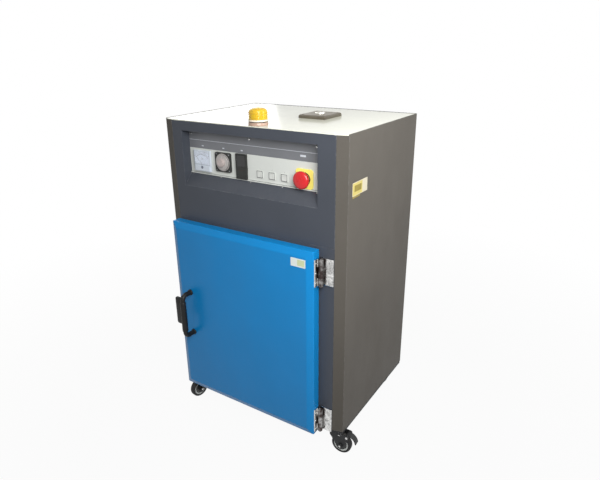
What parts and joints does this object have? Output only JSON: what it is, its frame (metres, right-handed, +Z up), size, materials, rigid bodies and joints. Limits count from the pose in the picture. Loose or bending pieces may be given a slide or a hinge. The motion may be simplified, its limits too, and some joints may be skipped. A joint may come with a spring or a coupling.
{
  "type": "tray cabinet dryer",
  "caption": "Insulated drying cabinet on swivel casters: hinged front door, trays on racks inside, control panel in a recess above the door, beacon and vent on top.",
  "frame": {"origin": "on the floor, at the middle of the part's box: 22 mm to the right of the cabinet's middle and 55 mm in front of it", "axes": "+Z up, the front with the door and the control panel faces -Y, +X to the right seen from the front"},
  "size_m": [0.8245, 0.68, 1.2984],
  "materials": {
    "cabinet_paint": "satin dark blue-grey paint",
    "door_paint": "satin blue paint",
    "top_paint": "glossy cream paint",
    "stainless": "brushed",
    "panel_grey": "light grey, matt",
    "band_grey": "mid grey, matt",
    "instrument_black": "black",
    "meter_clear": "clear front over a white scale",
    "dial_grey": "grey",
    "button_grey": "pale grey",
    "signal_red": "red",
    "signal_yellow": "yellow",
    "beacon_yellow": "translucent yellow",
    "beacon_cream": "cream",
    "chrome": "polished",
    "handle_black": "black",
    "seal_rubber": "black",
    "caster_steel": "black",
    "caster_tyre": "black",
    "vent_metal": "dull"
  },
  "bodies": {
    "cabinet": {"base_frame": "cabinet_paint", "side_panel_left": "cabinet_paint", "side_panel_right": "cabinet_paint", "inner_wall_left": "cabinet_paint", "inner_wall_right": "cabinet_paint", "chamber_floor": "cabinet_paint", "chamber_ceiling": "cabinet_paint", "back_wall": "cabinet_paint", "control_housing": "cabinet_paint", "top_panel": "top_paint", "liner": "stainless", "rack_left": "stainless", "rack_right": "stainless", "tray_1": "stainless", "tray_2": "stainless", "tray_3": "stainless", "tray_4": "stainless", "tray_5": "stainless", "panel_band": "band_grey", "panel_plate": "panel_grey", "ammeter": "meter_clear", "timer_housing": "instrument_black", "controller": "instrument_black", "stop_plate": "signal_yellow", "beacon_base": "beacon_cream", "beacon_lens": "beacon_yellow", "vent_box": "vent_metal", "hinge_frame_lower": "chrome", "hinge_frame_upper": "chrome"},
    "door": {"door_leaf": "door_paint", "door_inner_panel": "stainless", "door_seal": "seal_rubber", "door_handle": "handle_black", "hinge_door_lower": "chrome", "hinge_door_upper": "chrome"},
    "stop_button": {"stop_head": "signal_red"},
    "timer_knob": {"timer_dial": "dial_grey"},
    "button_1": {"push_button_1": "button_grey"},
    "button_2": {"push_button_2": "button_grey"},
    "button_3": {"push_button_3": "button_grey"},
    "swivel_front_left": {"fork_front_left": "caster_steel"},
    "roller_front_left": {"wheel_front_left": "caster_tyre"},
    "swivel_front_right": {"fork_front_right": "caster_steel"},
    "roller_front_right": {"wheel_front_right": "caster_tyre"},
    "swivel_back_left": {"fork_back_left": "caster_steel"},
    "roller_back_left": {"wheel_back_left": "caster_tyre"},
    "swivel_back_right": {"fork_back_right": "caster_steel"},
    "roller_back_right": {"wheel_back_right": "caster_tyre"},
    "brake_front_right": {"pedal_front_right": "caster_steel"}
  },
  "joints": [
    {"name": "door_hinge", "type": "hinge", "parent": "cabinet", "child": "door", "pos_m": [0.28563, -0.247, 0.1023], "axis": [0, 0, 1], "range_deg": [0, 120]},
    {"name": "swivel_front_left_turn", "type": "hinge", "parent": "cabinet", "child": "swivel_front_left", "pos_m": [-0.36237, -0.188, 0.11], "axis": [0, 0, 1], "continuous": true},
    {"name": "wheel_front_left_spin", "type": "hinge", "parent": "swivel_front_left", "child": "roller_front_left", "pos_m": [-0.36793, -0.21951, 0.04], "axis": [0.9848, -0.1736, 0], "continuous": true},
    {"name": "swivel_front_right_turn", "type": "hinge", "parent": "cabinet", "child": "swivel_front_right", "pos_m": [0.31763, -0.188, 0.11], "axis": [0, 0, 1], "continuous": true},
    {"name": "wheel_front_right_spin", "type": "hinge", "parent": "swivel_front_right", "child": "roller_front_right", "pos_m": [0.34955, -0.18577, 0.04], "axis": [-0.0698, 0.9976, 0], "continuous": true},
    {"name": "swivel_back_left_turn", "type": "hinge", "parent": "cabinet", "child": "swivel_back_left", "pos_m": [-0.36237, 0.298, 0.11], "axis": [0, 0, 1], "continuous": true},
    {"name": "wheel_back_left_spin", "type": "hinge", "parent": "swivel_back_left", "child": "roller_back_left", "pos_m": [-0.33037, 0.298, 0.04], "axis": [0, 1, 0], "continuous": true},
    {"name": "swivel_back_right_turn", "type": "hinge", "parent": "cabinet", "child": "swivel_back_right", "pos_m": [0.31763, 0.298, 0.11], "axis": [0, 0, 1], "continuous": true},
    {"name": "wheel_back_right_spin", "type": "hinge", "parent": "swivel_back_right", "child": "roller_back_right", "pos_m": [0.28563, 0.298, 0.04], "axis": [0, -1, 0], "continuous": true},
    {"name": "brake_front_right_press", "type": "hinge", "parent": "swivel_front_right", "child": "brake_front_right", "pos_m": [0.37549, -0.18395, 0.086], "axis": [-0.0698, 0.9976, 0], "range_deg": [0, 12]},
    {"name": "timer_turn", "type": "hinge", "parent": "cabinet", "child": "timer_knob", "pos_m": [-0.16197, -0.1983, 1.0919], "axis": [0, 1, 0], "range_deg": [0, 300]},
    {"name": "stop_press", "type": "slide", "parent": "cabinet", "child": "stop_button", "axis": [0, 1, 0], "range_m": [0, 0.005]},
    {"name": "button_1_press", "type": "slide", "parent": "cabinet", "child": "button_1", "axis": [0, 1, 0], "range_m": [0, 0.002], "stiffness_N_per_m": 400},
    {"name": "button_2_press", "type": "slide", "parent": "cabinet", "child": "button_2", "axis": [0, 1, 0], "range_m": [0, 0.002], "stiffness_N_per_m": 400},
    {"name": "button_3_press", "type": "slide", "parent": "cabinet", "child": "button_3", "axis": [0, 1, 0], "range_m": [0, 0.002], "stiffness_N_per_m": 400}
  ]
}
